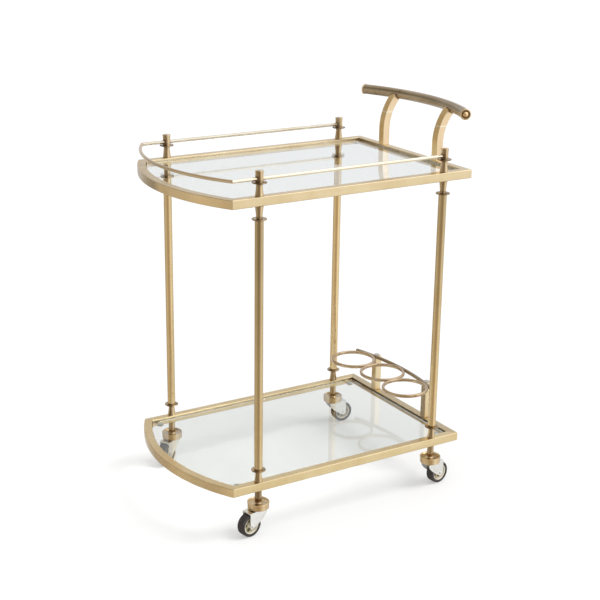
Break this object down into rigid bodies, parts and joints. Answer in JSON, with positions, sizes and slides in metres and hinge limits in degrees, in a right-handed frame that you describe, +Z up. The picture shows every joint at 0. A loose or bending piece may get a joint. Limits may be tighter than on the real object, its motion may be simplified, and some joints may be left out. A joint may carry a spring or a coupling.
{
  "type": "bar cart",
  "caption": "Bar cart with two glazed trays on turned posts, one bowed end, a gallery rail, a bowed push handle, a bottle ring rack and swivel casters.",
  "frame": {"origin": "centre of the bounding box's footprint, on the floor under the wheels", "axes": "+Z up, +X towards the handle end, the bowed end at -X, +Y towards the back long side"},
  "size_m": [0.7702, 0.5074, 0.9565],
  "materials": {
    "antique_brass": "brushed antique brass plating",
    "dark_brass": "darker brushed brass",
    "chrome": "bright chrome",
    "clear_glass": "clear, polished edge",
    "soft_pad": "matt grey",
    "wheel_rim": "satin cream",
    "tyre_rubber": "matt, finely ribbed"
  },
  "bodies": {
    "cart": {"upper_frame": "antique_brass", "upper_glass": "clear_glass", "upper_pad_front_left": "soft_pad", "upper_pad_front_right": "soft_pad", "upper_pad_back_right": "soft_pad", "upper_pad_back_left": "soft_pad", "lower_frame": "antique_brass", "lower_glass": "clear_glass", "lower_pad_front_left": "soft_pad", "lower_pad_front_right": "soft_pad", "lower_pad_back_right": "soft_pad", "lower_pad_back_left": "soft_pad", "gallery_rail": "antique_brass", "handle_bar": "dark_brass", "handle_arm_front": "antique_brass", "handle_cap_front": "dark_brass", "handle_arm_back": "antique_brass", "handle_cap_back": "dark_brass", "rack_strip": "antique_brass", "rack_leg_front": "antique_brass", "rack_leg_back": "antique_brass", "rack_ring_front": "antique_brass", "rack_ring_middle": "antique_brass", "rack_ring_back": "antique_brass", "finial_front_left": "antique_brass", "upper_ferrule_front_left": "antique_brass", "post_front_left": "antique_brass", "lower_ferrule_front_left": "antique_brass", "caster_cup_front_left": "antique_brass", "finial_front_right": "antique_brass", "upper_ferrule_front_right": "antique_brass", "post_front_right": "antique_brass", "lower_ferrule_front_right": "antique_brass", "caster_cup_front_right": "antique_brass", "finial_back_right": "antique_brass", "upper_ferrule_back_right": "antique_brass", "post_back_right": "antique_brass", "lower_ferrule_back_right": "antique_brass", "caster_cup_back_right": "antique_brass", "finial_back_left": "antique_brass", "upper_ferrule_back_left": "antique_brass", "post_back_left": "antique_brass", "lower_ferrule_back_left": "antique_brass", "caster_cup_back_left": "antique_brass"},
    "swivel_front_left": {"caster_fork_front_left": "chrome", "caster_axle_front_left": "chrome"},
    "wheel_front_left": {"wheel_front_left": "wheel_rim", "tyre_front_left": "tyre_rubber"},
    "swivel_front_right": {"caster_fork_front_right": "chrome", "caster_axle_front_right": "chrome"},
    "wheel_front_right": {"wheel_front_right": "wheel_rim", "tyre_front_right": "tyre_rubber"},
    "swivel_back_right": {"caster_fork_back_right": "chrome", "caster_axle_back_right": "chrome"},
    "wheel_back_right": {"wheel_back_right": "wheel_rim", "tyre_back_right": "tyre_rubber"},
    "swivel_back_left": {"caster_fork_back_left": "chrome", "caster_axle_back_left": "chrome"},
    "wheel_back_left": {"wheel_back_left": "wheel_rim", "tyre_back_left": "tyre_rubber"}
  },
  "joints": [
    {"name": "caster_swivel_front_left", "type": "hinge", "parent": "cart", "child": "swivel_front_left", "pos_m": [-0.24709, -0.2275, 0.064], "axis": [0, 0, 1], "continuous": true},
    {"name": "wheel_spin_front_left", "type": "hinge", "parent": "swivel_front_left", "child": "wheel_front_left", "pos_m": [-0.27458, -0.23284, 0.028], "axis": [0.1908, -0.9816, 0], "continuous": true},
    {"name": "caster_swivel_front_right", "type": "hinge", "parent": "cart", "child": "swivel_front_right", "pos_m": [0.25591, -0.2275, 0.064], "axis": [0, 0, 1], "continuous": true},
    {"name": "wheel_spin_front_right", "type": "hinge", "parent": "swivel_front_right", "child": "wheel_front_right", "pos_m": [0.28356, -0.22312, 0.028], "axis": [-0.1564, 0.9877, 0], "continuous": true},
    {"name": "caster_swivel_back_right", "type": "hinge", "parent": "cart", "child": "swivel_back_right", "pos_m": [0.25591, 0.2275, 0.064], "axis": [0, 0, 1], "continuous": true},
    {"name": "wheel_spin_back_right", "type": "hinge", "parent": "swivel_back_right", "child": "wheel_back_right", "pos_m": [0.2838, 0.22506, 0.028], "axis": [0.0872, 0.9962, 0], "continuous": true},
    {"name": "caster_swivel_back_left", "type": "hinge", "parent": "cart", "child": "swivel_back_left", "pos_m": [-0.24709, 0.2275, 0.064], "axis": [0, 0, 1], "continuous": true},
    {"name": "wheel_spin_back_left", "type": "hinge", "parent": "swivel_back_left", "child": "wheel_back_left", "pos_m": [-0.27182, 0.21435, 0.028], "axis": [0.4695, -0.8829, 0], "continuous": true}
  ]
}
